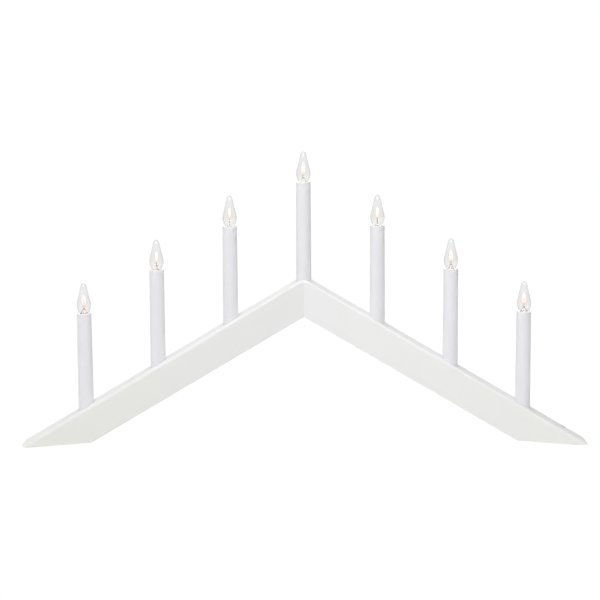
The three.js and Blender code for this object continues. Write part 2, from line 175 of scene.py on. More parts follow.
# Between which heights the filament's glow in the glass comes and goes
GLOW_START = (4.9 * MM, 10.3 * MM)
GLOW_END = (16.1 * MM, 22 * MM)

# Lamp legs, bead and filament, heights from the rim
LEG_RADIUS = 0.26 * MM
LEG_SPREAD = 3.3 * MM
LEG_NECK = 2.9 * MM
LEG_PINCH = 0.6 * MM
LEG_ABOVE_FLOOR = 1.5 * MM
LEG_BEND_SHARE = 0.93
LEG_BEND_HEIGHT = 0.5 * MM
LEG_INTO_COIL = 0.2 * MM
BEAD_RADIUS = 1.05 * MM
BEAD_LENGTH = 2.8 * MM
BEAD_HEIGHT = 4.8 * MM
BEAD_END_SHARE = 0.75
BEAD_BARREL_SHARE = 0.5
FILAMENT_HALF_WIDTH = 1.6 * MM
FILAMENT_START = 8.3 * MM
FILAMENT_TOP = 18.8 * MM
COIL_RADIUS = 0.5 * MM
COIL_WIRE_RADIUS = 0.17 * MM
COIL_TURNS = 40
COIL_END_SHARE = 0.7
# How full the coil's arch is, and at which share of its rise it has its full width
ARCH_POWER = 0.8
FULL_WIDTH_RISE = 0.5
# Which way each lamp's legs face once it is screwed tight, from left to right
LAMP_TURNS = [math.radians(turn) for turn in (0, 75, 90, 40, 70, 35, 10)]

# Facets and tolerances
TURN_STEPS = 64
SMALL_STEPS = 32
APEX_STEPS = 8
TOP_EDGE_STEPS = 8
LOWER_EDGE_STEPS = 4
EASED_STEPS = 2
SLOT_END_STEPS = 10
RIM_STEPS = 6
LIP_STEPS = 3
INLET_STEPS = 4
THREAD_STEPS = 8
DOME_STEPS = 6
COIL_STEPS = 8
LEG_ROUNDNESS = 5
BEND_ROUNDS = 2
BEND_SHARE = 0.25
SHARP_ANGLE = math.radians(32)
WELD = 0.002 * MM
# How closely an edge has to run along an axis to be taken as parallel to it
PARALLEL = 0.99
# How far ahead and back the coil's direction is read, as a share of its length
COIL_LOOK = 0.01

# Finishes, with the scales of patterns per metre
WHITE = (1, 1, 1, 1)
# Between which values most of a noise lies
NOISE_RANGE = (0.3, 0.7)
TARNISH_RANGE = (0.42, 0.75)
METAL_ROUGHNESS = (0.18, 0.45)
DRAW_MARK_SCALE = 2500
FIBRE_STRETCH = (33, 1, 1)
PORE_SCALE = 2200
BRUSH_STREAK_SHARE = 0.3
BEECH_PALE = (0.72, 0.52, 0.32, 1)
BEECH_DARK = (0.5, 0.33, 0.18, 1)
# How far a moulded skin's roughness falls and rises about its middle
MOULDED_SMOOTHER = 0.05
MOULDED_ROUGHER = 0.06
SCATTER_RADIUS = (1, 0.9, 0.85)
SCATTER_SCALE = 1.5 * MM
# Where the painted warm bounce light on the front paint begins towards the feet, and which normals count as
# the front
BOUNCE_LIGHT_START = 20 * MM
FRONT_FACING = (-0.9, -0.5)
# The soft grey spot near the right tip: its reach is its half size along each axis
GREY_SPOT_COLOUR = (0.42, 0.41, 0.39, 1)
GREY_SPOT_X = 292.3 * MM
GREY_SPOT_Y = 8 * MM
GREY_SPOT_REACH = (2.8 * MM, 13 * MM, 6 * MM)
GREY_SPOT_FADE = (0.35, 1)
GREY_SPOT_SPECKLE_SCALE = 900
GREY_SPOT_SPECKLE_SHARES = (0.4, 1)
# The colours of lamp glass in the glow and edge on, and between which slants each fades out or in
GLOWING_GLASS = (1, 0.966, 0.953, 1)
GLOW_SLANTS = (0.03, 0.4)
GLASS_EDGE = (0.8, 0.82, 0.82, 1)
EDGE_SLANTS = (0.2, 0.85)
GLASS_WAVE_SCALE = 90
# The lit wire where it leaves its legs and where it is hot, and how far it takes to heat up
COOL_GLOW = (0.8, 0.46, 0.26, 1)
HOT_GLOW = (1, 0.87, 0.68, 1)
HEAT_REACH = 4 * MM


def top_z(x):
    """Height of the arms' top faces."""
    return APEX_Z - abs(x) * math.tan(ARM_SLOPE)


def groove_z(x):
    """Height of the wiring groove's middle line."""
    return top_z(x) - GROOVE_CENTRE / math.cos(ARM_SLOPE)


def rim_of(number):
    """The middle of a candle tube's rim."""
    low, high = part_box(f"candle_tube_{number}")
    return Vector(((low.x + high.x) / 2, (low.y + high.y) / 2, high.z))


# Nodes

def feed(tree, socket, value):
    """Links an input to another socket, or sets it to a value."""
    if isinstance(value, bpy.types.NodeSocket):
        tree.links.new(value, socket)
    else:
        socket.default_value = value


def feed_inputs(tree, node, values):
    """Feeds a node's inputs by name; an underscore stands for a space in a name."""
    for label, value in values.items():
        feed(tree, node.inputs[label.replace("_", " ")], value)


def fed_node(tree, kind, **values):
    """A new node with its inputs fed."""
    node = tree.nodes.new(kind)
    feed_inputs(tree, node, values)
    return node


def noise(tree, place, scale, detail, roughness):
    node = fed_node(tree, "ShaderNodeTexNoise", Vector=place, Scale=scale, Detail=detail,
                    Roughness=roughness)
    return node.outputs["Fac"]


def mixed(tree, share, first, second):
    """A mix of two colours by a share; each is a socket or a value."""
    node = tree.nodes.new("ShaderNodeMix")
    node.data_type = "RGBA"
    feed_inputs(tree, node, {"Factor": share, "A": first, "B": second})
    return node.outputs["Result"]


def mapped(tree, value, source, target):
    """Maps a value from one range onto another; the ends of both are sockets or numbers."""
    node = fed_node(tree, "ShaderNodeMapRange", Value=value, From_Min=source[0], From_Max=source[1],
                    To_Min=target[0], To_Max=target[1])
    return node.outputs["Result"]


def reckoned(tree, operation, *values):
    """The result of a Math node on sockets or numbers."""
    node = tree.nodes.new("ShaderNodeMath")
    node.operation = operation
    for socket, value in zip(node.inputs, values):
        feed(tree, socket, value)
    return node.outputs["Value"]


def laid_out(tree, place, centre=(0, 0, 0), turn=(0, 0, 0), reach=(1, 1, 1)):
    """A place as measured from a centre, along turned axes, in units of a reach."""
    node = tree.nodes.new("ShaderNodeMapping")
    node.vector_type = "TEXTURE"
    feed_inputs(tree, node, {"Vector": place, "Location": centre, "Rotation": turn, "Scale": reach})
    return node.outputs["Vector"]


def coordinate(tree, vector, axis):
    return fed_node(tree, "ShaderNodeSeparateXYZ", Vector=vector).outputs[axis]


def for_rays(tree, ray, shader, others):
    """One shader for one kind of ray and another for the rest."""
    path = tree.nodes.new("ShaderNodeLightPath")
    mix = fed_node(tree, "ShaderNodeMixShader", Fac=path.outputs[ray])
    tree.links.new(others, mix.inputs[1])
    tree.links.new(shader, mix.inputs[2])
    return mix.outputs["Shader"]


# Node groups that several finishes share

VECTOR = "NodeSocketVector"
COLOUR = "NodeSocketColor"
NUMBER = "NodeSocketFloat"


def node_group(name, inputs, outputs):
    """An empty shader node group; gives back the group, what it is given and what it puts out."""
    group = bpy.data.node_groups.new(name, "ShaderNodeTree")
    for label, kind in inputs.items():
        group.interface.new_socket(label, in_out="INPUT", socket_type=kind)
    for label, kind in outputs.items():
        group.interface.new_socket(label, in_out="OUTPUT", socket_type=kind)
    given = group.nodes.new("NodeGroupInput").outputs
    result = group.nodes.new("NodeGroupOutput").inputs
    return group, given, result


def make_film_group():
    """A painted or moulded skin: a slow drift of tone, a fine grain in its height, a broken gloss."""
    group, given, result = node_group(
        "skin_film",
        {"Vector": VECTOR, "Bright": COLOUR, "Dull": COLOUR, "Drift Scale": NUMBER, "Grain Scale": NUMBER,
         "Smoothest": NUMBER, "Roughest": NUMBER},
        {"Color": COLOUR, "Roughness": NUMBER, "Height": NUMBER},
    )
    drift = noise(group, given["Vector"], given["Drift Scale"], detail=3, roughness=0.55)
    grain = noise(group, given["Vector"], given["Grain Scale"], detail=4, roughness=0.6)
    tone = mapped(group, drift, NOISE_RANGE, (0, 1))
    rough = mapped(group, grain, NOISE_RANGE, (given["Smoothest"], given["Roughest"]))
    feed(group, result["Color"], mixed(group, tone, given["Bright"], given["Dull"]))
    feed(group, result["Roughness"], rough)
    feed(group, result["Height"], grain)
    return group


def make_tarnish_group():
    """Bare metal: bright stretches with dull blooms and fine draw marks."""
    group, given, result = node_group(
        "metal_tarnish",
        {"Vector": VECTOR, "Bright": COLOUR, "Tarnished": COLOUR, "Scale": NUMBER},
        {"Color": COLOUR, "Roughness": NUMBER, "Height": NUMBER},
    )
    bloom = noise(group, given["Vector"], given["Scale"], detail=5, roughness=0.6)
    marks = noise(group, given["Vector"], DRAW_MARK_SCALE, detail=2, roughness=0.5)
    tone = mapped(group, bloom, TARNISH_RANGE, (0, 1))
    feed(group, result["Color"], mixed(group, tone, given["Bright"], given["Tarnished"]))
    feed(group, result["Roughness"], mapped(group, bloom, NOISE_RANGE, METAL_ROUGHNESS))
    feed(group, result["Height"], marks)
    return group


def make_fibre_group():
    """Wood fibres along the piece's own length: long streaks and short pores."""
    group, given, result = node_group(
        "wood_fibres",
        {"Vector": VECTOR, "Turn": VECTOR, "Across": NUMBER},
        {"Streak": NUMBER, "Pores": NUMBER},
    )
    lay = laid_out(group, given["Vector"], turn=given["Turn"], reach=FIBRE_STRETCH)
    feed(group, result["Streak"], noise(group, lay, given["Across"], detail=4, roughness=0.6))
    feed(group, result["Pores"], noise(group, lay, PORE_SCALE, detail=2, roughness=0.5))
    return group


def make_bounce_light_group():
    """The share of painted warm bounce light: it grows from the apex to the most at an arm's tip, on the
    front face alone.
    """
    group, given, result = node_group(
        "painted_foot_bounce_light",
        {"Vector": VECTOR, "Facing": VECTOR, "Most": NUMBER},
        {"Share": NUMBER},
    )
    away = reckoned(group, "ABSOLUTE", coordinate(group, given["Vector"], "X"))
    near_foot = mapped(group, away, (BOUNCE_LIGHT_START, HALF_WIDTH), (0, given["Most"]))
    front = mapped(group, coordinate(group, given["Facing"], "Y"), FRONT_FACING, (1, 0))
    feed(group, result["Share"], reckoned(group, "MULTIPLY", near_foot, front))
    return group


def make_glow_group():
    """Lamp glass: a faint waviness, and where the filament's glow shows, by the height above the rim."""
    group, given, result = node_group(
        "glass_glow",
        {"Vector": VECTOR, "Rim": NUMBER},
        {"Glow": NUMBER, "Wave": NUMBER},
    )
    height = reckoned(group, "SUBTRACT", coordinate(group, given["Vector"], "Z"), given["Rim"])
    over_bead = mapped(group, height, GLOW_START, (0, 1))
    under_tip = mapped(group, height, GLOW_END, (1, 0))
    feed(group, result["Glow"], reckoned(group, "MULTIPLY", over_bead, under_tip))
    feed(group, result["Wave"], noise(group, given["Vector"], GLASS_WAVE_SCALE, detail=1, roughness=0.4))
    return group


def make_heat_group():
    """The heat of a lit wire, none where it leaves its legs, by the height above the rim."""
    group, given, result = node_group("wire_heat", {"Vector": VECTOR, "Rim": NUMBER}, {"Heat": NUMBER})
    height = reckoned(group, "SUBTRACT", coordinate(group, given["Vector"], "Z"), given["Rim"])
    heat = mapped(group, height, (FILAMENT_START, FILAMENT_START + HEAT_REACH), (0, 1))
    feed(group, result["Heat"], heat)
    return group


SKIN_FILM = make_film_group()
METAL_TARNISH = make_tarnish_group()
WOOD_FIBRES = make_fibre_group()
FOOT_BOUNCE_LIGHT = make_bounce_light_group()
GLASS_GLOW = make_glow_group()
WIRE_HEAT = make_heat_group()


# Finishes

class Finish:
    """A new material with its node tree, its shader, its Object coordinates and its normals at hand."""

    def __init__(self, name):
        self.material = bpy.data.materials.new(name)
        self.material.use_nodes = True
        self.tree = self.material.node_tree
        self.shader = self.tree.nodes["Principled BSDF"]
        coordinates = self.tree.nodes.new("ShaderNodeTexCoord")
        self.place = coordinates.outputs["Object"]
        self.facing = coordinates.outputs["Normal"]

    def group(self, kind, **values):
        """Places a shared node group on the Object coordinates and feeds its other inputs."""
        node = self.tree.nodes.new("ShaderNodeGroup")
        node.node_tree = kind
        feed_inputs(self.tree, node, {"Vector": self.place, **values})
        return node.outputs

    def give(self, **values):
        """Feeds the shader's inputs."""
        feed_inputs(self.tree, self.shader, values)

    def repaint(self, share, colour):
        """Lays another colour over the base colour, by a socket's share."""
        painted = self.shader.inputs["Base Color"].links[0].from_socket
        self.give(Base_Color=mixed(self.tree, share, painted, colour))

    def bump(self, height, strength, depth, under=None):
        """A bump on the shader's normal; under is the normal of a coarser bump."""
        node = fed_node(self.tree, "ShaderNodeBump", Height=height, Strength=strength, Distance=depth)
        if under is not None:
            self.tree.links.new(under, node.inputs["Normal"])
        self.give(Normal=node.outputs["Normal"])
        return node.outputs["Normal"]


def white_paint(name, turn, bright, dull, warm, most_bounce_light):
    """Satin paint brushed along a wooden bar, with painted warm bounce light on its front face near its
    foot; turn lays the brush marks along it.
    """
    finish = Finish(name)
    film = finish.group(SKIN_FILM, Bright=bright, Dull=dull, Drift_Scale=14, Grain_Scale=700,
                        Smoothest=0.42, Roughest=0.56)
    fibres = finish.group(WOOD_FIBRES, Turn=(0, turn, 0), Across=420)
    warmth = finish.group(FOOT_BOUNCE_LIGHT, Facing=finish.facing, Most=most_bounce_light)
    finish.give(Base_Color=film["Color"], Roughness=film["Roughness"])
    finish.repaint(mapped(finish.tree, fibres["Streak"], NOISE_RANGE, (0, BRUSH_STREAK_SHARE)), dull)
    # Painted light: a warm bounce laid over the front face towards the foot
    finish.repaint(warmth["Share"], warm)
    brushed = finish.bump(fibres["Streak"], strength=0.5, depth=0.3 * MM)
    finish.bump(film["Height"], strength=0.12, depth=0.1 * MM, under=brushed)
    return finish


def add_grey_spot(finish):
    """A soft, speckled grey spot on the right arm's top face."""
    tree = finish.tree
    centre = (GREY_SPOT_X, GREY_SPOT_Y, top_z(GREY_SPOT_X))
    away = tree.nodes.new("ShaderNodeVectorMath")
    away.operation = "LENGTH"
    tree.links.new(laid_out(tree, finish.place, centre=centre, reach=GREY_SPOT_REACH), away.inputs[0])
    spot = mapped(tree, away.outputs["Value"], GREY_SPOT_FADE, (1, 0))
    speckle = noise(tree, finish.place, GREY_SPOT_SPECKLE_SCALE, detail=3, roughness=0.6)
    broken = mapped(tree, speckle, NOISE_RANGE, GREY_SPOT_SPECKLE_SHARES)
    finish.repaint(reckoned(tree, "MULTIPLY", spot, broken), GREY_SPOT_COLOUR)


def moulded_plastic(name, bright, dull, roughness, scatter=0):
    finish = Finish(name)
    film = finish.group(SKIN_FILM, Bright=bright, Dull=dull, Drift_Scale=40, Grain_Scale=1600,
                        Smoothest=roughness - MOULDED_SMOOTHER, Roughest=roughness + MOULDED_ROUGHER)
    finish.give(Base_Color=film["Color"], Roughness=film["Roughness"])
    finish.give(Subsurface_Weight=scatter, Subsurface_Radius=SCATTER_RADIUS, Subsurface_Scale=SCATTER_SCALE)
    finish.bump(film["Height"], strength=0.03, depth=0.05 * MM)
    return finish.material


def bare_metal(name, bright, tarnished, scale):
    finish = Finish(name)
    skin = finish.group(METAL_TARNISH, Bright=bright, Tarnished=tarnished, Scale=scale)
    finish.give(Base_Color=skin["Color"], Roughness=skin["Roughness"], Metallic=1)
    finish.bump(skin["Height"], strength=0.08, depth=0.03 * MM)
    return finish


def plain_beech():
    finish = Finish("plain_beech")
    fibres = finish.group(WOOD_FIBRES, Across=900)
    finish.give(Base_Color=mixed(finish.tree, fibres["Streak"], BEECH_PALE, BEECH_DARK), Roughness=0.65)
    finish.bump(fibres["Pores"], strength=0.2, depth=0.1 * MM)
    return finish.material


def clear_glass(name, rim_z):
    """Blown lamp glass with a faint waviness, darker edge on and warm where the filament glows."""
    finish = Finish(name)
    tree = finish.tree
    lit = finish.group(GLASS_GLOW, Rim=rim_z)
    slant = tree.nodes.new("ShaderNodeLayerWeight").outputs["Facing"]
    glow = reckoned(tree, "MULTIPLY", lit["Glow"], mapped(tree, slant, GLOW_SLANTS, (1, 0)))
    face_on = mixed(tree, glow, WHITE, GLOWING_GLASS)
    edge_on = mapped(tree, slant, EDGE_SLANTS, (0, 1))
    finish.give(Base_Color=mixed(tree, edge_on, face_on, GLASS_EDGE))
    finish.give(Roughness=0.01, IOR=1.5, Transmission_Weight=1)
    finish.bump(lit["Wave"], strength=0.03, depth=0.3 * MM)
    let_light_through(finish)
    return finish.material


def let_light_through(finish):
    """Lets light pass the glass without a shadow."""
    tree = finish.tree
    clear = tree.nodes.new("ShaderNodeBsdfTransparent").outputs["BSDF"]
    surface = for_rays(tree, "Is Shadow Ray", clear, finish.shader.outputs["BSDF"])
    tree.links.new(surface, tree.nodes["Material Output"].inputs["Surface"])


def glowing_tungsten(name, rim_z):
    """Coiled tungsten, white hot over its length and cooler where the legs draw its heat away."""
    finish = bare_metal(name, bright=(0.3, 0.27, 0.24, 1), tarnished=(0.16, 0.14, 0.13, 1), scale=900)
    heat = finish.group(WIRE_HEAT, Rim=rim_z)["Heat"]
    finish.give(Emission_Color=mixed(finish.tree, heat, COOL_GLOW, HOT_GLOW), Emission_Strength=1.4)
    return finish.material


# Lit and shaded copies of one white paint: the left arm's copy is darker, painted shade, and the right
# arm's copy is lighter, painted light, for how the light falls on each arm.
shaded_left_paint = white_paint(
    "white_paint_shaded_left", turn=-ARM_SLOPE, bright=(0.855, 0.857, 0.854, 1), dull=(0.838, 0.841, 0.834, 1),
    warm=(0.86, 0.86, 0.785, 1), most_bounce_light=0.6)
lit_right_paint = white_paint(
    "white_paint_lit_right", turn=ARM_SLOPE, bright=(0.905, 0.906, 0.904, 1), dull=(0.891, 0.893, 0.889, 1),
    warm=(0.91, 0.91, 0.835, 1), most_bounce_light=0.4)
add_grey_spot(lit_right_paint)
tube_plastic = moulded_plastic(
    "tube_white_plastic", bright=(0.866, 0.86, 0.892, 1), dull=(0.851, 0.845, 0.877, 1), roughness=0.36,
    scatter=0.25)
holder_plastic = moulded_plastic(
    "holder_cream_plastic", bright=(0.84, 0.81, 0.76, 1), dull=(0.8, 0.77, 0.71, 1), roughness=0.45)
inlet_plastic = moulded_plastic(
    "inlet_white_plastic", bright=(0.84, 0.84, 0.83, 1), dull=(0.82, 0.82, 0.81, 1), roughness=0.28)
lead_plastic = moulded_plastic(
    "lead_white_plastic", bright=(0.84, 0.83, 0.79, 1), dull=(0.8, 0.79, 0.75, 1), roughness=0.42)
bead_glass = moulded_plastic(
    "bead_brown_glass", bright=(0.5, 0.35, 0.29, 1), dull=(0.42, 0.28, 0.23, 1), roughness=0.15)
brass = bare_metal(
    "cap_brass", bright=(0.83, 0.63, 0.3, 1), tarnished=(0.55, 0.38, 0.17, 1), scale=260).material
solder = bare_metal(
    "contact_solder", bright=(0.66, 0.66, 0.67, 1), tarnished=(0.42, 0.42, 0.43, 1), scale=700).material
nickel = bare_metal(
    "leg_nickel", bright=(0.55, 0.48, 0.43, 1), tarnished=(0.4, 0.33, 0.28, 1), scale=500).material
screw_steel = bare_metal(
    "screw_zinc", bright=(0.7, 0.71, 0.72, 1), tarnished=(0.5, 0.5, 0.5, 1), scale=400).material
beech = plain_beech()


# Shapes

def moved(shape, matrix):
    bmesh.ops.transform(shape, matrix=matrix, verts=shape.verts)
    return shape


def tidied(shape):
    """Merges doubles and points every face outwards."""
    bmesh.ops.remove_doubles(shape, verts=shape.verts, dist=WELD)
    bmesh.ops.recalc_face_normals(shape, faces=shape.faces)
    return shape


def turned(profile, steps, lead=0.0):
    """Spins a line of (radius, height) points about Z; lead is the climb of one turn."""
    shape = bmesh.new()
    verts = [shape.verts.new((radius, 0, height)) for radius, height in profile]
    edges = [shape.edges.new(pair) for pair in zip(verts, verts[1:])]
    bmesh.ops.spin(shape, geom=verts + edges, cent=(0, 0, 0), axis=(0, 0, 1), dvec=(0, 0, lead / steps),
                   angle=2 * math.pi, steps=steps, use_merge=lead == 0)
    return tidied(shape)


def arc(centre, radius, start, end, steps):
    """Points of an arc in a profile, angles in degrees."""
    angles = [math.radians(start + (end - start) * step / steps) for step in range(steps + 1)]
    return [(centre[0] + radius * math.cos(a), centre[1] + radius * math.sin(a)) for a in angles]


def rod(start, end, radius, steps):
    """A closed cylinder between two points."""
    shape = bmesh.new()
    along = end - start
    place = Matrix.Translation((start + end) / 2) @ along.to_track_quat("Z", "Y").to_matrix().to_4x4()
    bmesh.ops.create_cone(shape, cap_ends=True, segments=steps, radius1=radius, radius2=radius,
                          depth=along.length, matrix=place)
    return shape


def bevel(shape, edges, offset, segments):
    bmesh.ops.bevel(shape, geom=edges, offset=offset, offset_type="OFFSET", segments=segments, profile=0.5,
                    affect="EDGES", clamp_overlap=True, material=-1)


def block(length, depth, height):
    shape = bmesh.new()
    bmesh.ops.create_cube(shape, size=1)
    bmesh.ops.scale(shape, vec=(length, depth, height), verts=shape.verts)
    return shape


def edges_of(parts):
    return [part for part in parts if isinstance(part, bmesh.types.BMEdge)]


def edges_along(shape, axis, keep):
    """The edges that run along an axis and whose middle the keep function accepts."""
    found = []
    for edge in shape.edges:
        first, second = (vert.co for vert in edge.verts)
        run = (second - first).normalized()
        if abs(run["XYZ".index(axis)]) > PARALLEL and keep((first + second) / 2):
            found.append(edge)
    return found


def parted(shape, point, normal, **clearing):
    """Cuts a shape along a plane and gives back what lies in the cut."""
    parts = shape.verts[:] + shape.edges[:] + shape.faces[:]
    cut = bmesh.ops.bisect_plane(shape, geom=parts, plane_co=point, plane_no=normal, **clearing)
    return cut["geom_cut"]


def sliced(shape, point, normal):
    """Takes away all that lies behind a plane and closes the cut."""
    rim = edges_of(parted(shape, point, normal, clear_inner=True))
    bmesh.ops.holes_fill(shape, edges=rim, sides=0)


def mirrored(shape):
    """The shape's mirror image, left for right."""
    bmesh.ops.scale(shape, vec=(-1, 1, 1), verts=shape.verts)
    bmesh.ops.recalc_face_normals(shape, faces=shape.faces)
    return shape


def loose_object(shape, name):
    """A plain object of a shape, in the scene."""
    mesh = bpy.data.meshes.new(name)
    shape.to_mesh(mesh)
    shape.free()
    made = bpy.data.objects.new(name, mesh)
    bpy.context.scene.collection.objects.link(made)
    return made


def carved(shape, cutters):
    """A shape less its cutters."""
    whole_piece = loose_object(shape, "uncarved")
    tools = [loose_object(cutter, "cutter") for cutter in cutters]
    for tool in tools:
        step = whole_piece.modifiers.new("carve", "BOOLEAN")
        step.operation = "DIFFERENCE"
        step.solver = "EXACT"
        step.object = tool
    result = bmesh.new()
    result.from_object(whole_piece, bpy.context.evaluated_depsgraph_get())
    for used in [whole_piece] + tools:
        mesh = used.data
        bpy.data.objects.remove(used)
        bpy.data.meshes.remove(mesh)
    return result


def joined(shapes):
    """Several shapes as one mesh of separate solids."""
    result = bmesh.new()
    for shape in shapes:
        mesh = bpy.data.meshes.new("joining")
        shape.to_mesh(mesh)
        shape.free()
        result.from_mesh(mesh)
        bpy.data.meshes.remove(mesh)
    return result


def rounded_bends(points):
    """The same line of points with its corners cut to curves."""
    for _ in range(BEND_ROUNDS):
        softer = [points[0]]
        for near, far in zip(points, points[1:]):
            softer.append(near.lerp(far, BEND_SHARE))
            softer.append(near.lerp(far, 1 - BEND_SHARE))
        points = softer + [points[-1]]
    return points


def wire(points, radius, name, roundness=2):
    """A round wire along a line of points, with closed ends; roundness adds to the sides of its section."""
    curve = bpy.data.curves.new(name, "CURVE")
    curve.dimensions = "3D"
    curve.bevel_depth = radius
    curve.bevel_resolution = roundness
    curve.use_fill_caps = True
    line = curve.splines.new("POLY")
    line.points.add(len(points) - 1)
    for spot, point in zip(line.points, points):
        spot.co = (*point, 1)
    bent = bpy.data.objects.new(name, curve)
    bpy.context.scene.collection.objects.link(bent)
    mesh = bpy.data.meshes.new_from_object(bent)
    shape = bmesh.new()
    shape.from_mesh(mesh)
    bpy.data.objects.remove(bent)
    bpy.data.curves.remove(curve)
    bpy.data.meshes.remove(mesh)
    return tidied(shape)


def piece(name, shape, material, body, stands_for=()):
    """A finished piece with its material, that rides on a body and hides the CAD nodes it stands for."""
    made = loose_object(shape, name)
    made.data.materials.append(material)
    for face in made.data.polygons:
        face.use_smooth = True
    made.data.set_sharp_from_angle(angle=SHARP_ANGLE)
    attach(made, body)
    if stands_for:
        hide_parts(*stands_for)
    return made


def painted_pair(form, node, right_shape, left_shape):
    """Each arm's own copy of a painted piece. The large flat faces set its shading, so that its narrow
    rounded edges don't tint them."""
    # The left arm takes the paint with painted shade, the right arm the paint with painted light.
    for side, shape, paint in (("right", right_shape, lit_right_paint), ("left", left_shape, shaded_left_paint)):
        made = piece(f"painted_{form}_{side}", shape, paint.material, "frame", [f"{node}_{side}"])
        step = made.modifiers.new("even_normals", "WEIGHTED_NORMAL")
        step.keep_sharp = True


# Arms

def on_slope(x, y, z):
    """Takes a level bar to the right arm's slope, its middle that far from the apex along, back and up."""
    slope = Matrix.Translation((0, 0, APEX_Z)) @ Matrix.Rotation(ARM_SLOPE, 4, "Y")
    return slope @ Matrix.Translation((x, y, z))


def round_apex(shape):
    """Rounds the ridge over the mitre: the bar's upper part dips where its slope would end in a point."""
    reach = APEX_RADIUS * math.sin(ARM_SLOPE)
    centre_z = APEX_Z - APEX_RADIUS / math.cos(ARM_SLOPE)
    for step in range(1, APEX_STEPS + 1):
        parted(shape, (reach * step / APEX_STEPS, 0, 0), (1, 0, 0))
    for vert in shape.verts:
        x = vert.co.x
        straight_z = top_z(x)
        if x < reach and straight_z - vert.co.z < ARM_HEIGHT / 2:
            vert.co.z -= straight_z - centre_z - math.sqrt(APEX_RADIUS ** 2 - x ** 2)


def narrow_front_edge(shape, bar_end):
    """Narrows the rounding of a level bar's front top edge towards the end that meets the other arm."""
    full_from = bar_end + APEX_EDGE_LENGTH
    parted(shape, (full_from, 0, 0), (1, 0, 0))
    corner = Vector((0, -ARM_DEPTH / 2, ARM_HEIGHT / 2))
    for vert in shape.verts:
        in_front = vert.co.y - corner.y < TOP_EDGE_RADIUS + WELD
        on_top = corner.z - vert.co.z < TOP_EDGE_RADIUS + WELD
        if vert.co.x < full_from - WELD and in_front and on_top:
            vert.co.y = corner.y + APEX_EDGE_SHARE * (vert.co.y - corner.y)
            vert.co.z = corner.z + APEX_EDGE_SHARE * (vert.co.z - corner.z)


def arm_bar():
    """The right arm's bar on its slope, mitred and rounded at the apex, level and relieved at the foot."""
    length = HALF_WIDTH / math.cos(ARM_SLOPE) + 2 * CUT_OVERRUN
    shape = block(length, ARM_DEPTH, ARM_HEIGHT)
    upper = edges_along(shape, "X", lambda middle: middle.z > 0)
    bevel(shape, upper, TOP_EDGE_RADIUS, TOP_EDGE_STEPS)
    lower = edges_along(shape, "X", lambda middle: middle.z < WELD - ARM_HEIGHT / 2)
    bevel(shape, lower, LOWER_EDGE_RADIUS, LOWER_EDGE_STEPS)
    narrow_front_edge(shape, -length / 2)
    moved(shape, on_slope(length / 2 - CUT_OVERRUN, 0, -ARM_HEIGHT / 2))
    sliced(shape, (SEAM_GAP / 2, 0, 0), (1, 0, 0))
    round_apex(shape)
    sliced(shape, (0, 0, 0), (0, 0, 1))
    flat_end = (HALF_WIDTH - FOOT_FLAT_LENGTH, 0, 0)
    sliced(shape, flat_end, (math.sin(FOOT_RELIEF), 0, math.cos(FOOT_RELIEF)))
    tidied(shape)
    sharp = [edge for edge in shape.edges if edge.calc_face_angle(0) > SHARP_ANGLE]
    open_edges = [edge for edge in sharp if any(vert.co.x > SEAM_GAP for vert in edge.verts)]
    bevel(shape, open_edges, EASED_EDGE, EASED_STEPS)
    return tidied(shape)


def rear_slot(width, depth, proud):
    """A block along the wiring groove, round at its lower end, let into the rear face by a depth."""
    candle_pitch = rim_of(MIDDLE_LAMP + 1).x - rim_of(MIDDLE_LAMP).x
    past_last = GROOVE_OVERRUN + GROOVE_CENTRE * math.sin(ARM_SLOPE)
    run = (LAST_LAMP - MIDDLE_LAMP) * candle_pitch + past_last
    length = run / math.cos(ARM_SLOPE) + width / 2 + CUT_OVERRUN
    shape = block(length, depth + proud, width)
    lower_end = edges_along(shape, "Y", lambda middle: middle.x > 0)
    bevel(shape, lower_end, ROUND_END_SHARE * width, SLOT_END_STEPS)
    return moved(shape, on_slope(length / 2 - CUT_OVERRUN, REAR_Y + (proud - depth) / 2, -GROOVE_CENTRE))


def candle_seat(x):
    """Cutters for a tube's seat and for the lead holes from it down and back into the groove."""
    above = Vector((x, 0, top_z(x) + CUT_OVERRUN))
    floor = Vector((x, 0, top_z(x) - TUBE_SEAT_DEPTH))
    turning = Vector((x, 0, groove_z(x)))
    in_groove = Vector((x, REAR_Y - GROOVE_DEPTH + FIT_GAP, groove_z(x)))
    return [
        rod(floor, above, TUBE_FOOT_RADIUS + FIT_GAP, TURN_STEPS),
        rod(turning - Vector((0, 0, LEAD_HOLE_RADIUS)), above, LEAD_HOLE_RADIUS, SMALL_STEPS),
        rod(turning, in_groove, LEAD_HOLE_RADIUS, SMALL_STEPS),
    ]


def dowel_hole(node):
    low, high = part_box(node)
    middle = (low + high) / 2
    radius = (high.z - low.z) / 2 + FIT_GAP
    reach = Vector(((high.x - low.x) / 2 + FIT_GAP, 0, 0))
    return rod(middle - reach, middle + reach, radius, SMALL_STEPS)


def carved_arm():
    cutters = [
        rear_slot(GROOVE_WIDTH, GROOVE_DEPTH, CUT_OVERRUN),
        rear_slot(COVER_WIDTH + 2 * FIT_GAP, COVER_THICKNESS + FIT_GAP, CUT_OVERRUN),
    ]
    for number in range(MIDDLE_LAMP, LAST_LAMP + 1):
        cutters += candle_seat(rim_of(number).x)
    for node in ("mitre_dowel_lower", "mitre_dowel_upper"):
        cutters.append(dowel_hole(node))
    return carved(arm_bar(), cutters)


arm = carved_arm()
painted_pair("arm", "arm", arm, mirrored(arm.copy()))


# Rear covers, their screws and the cord inlet

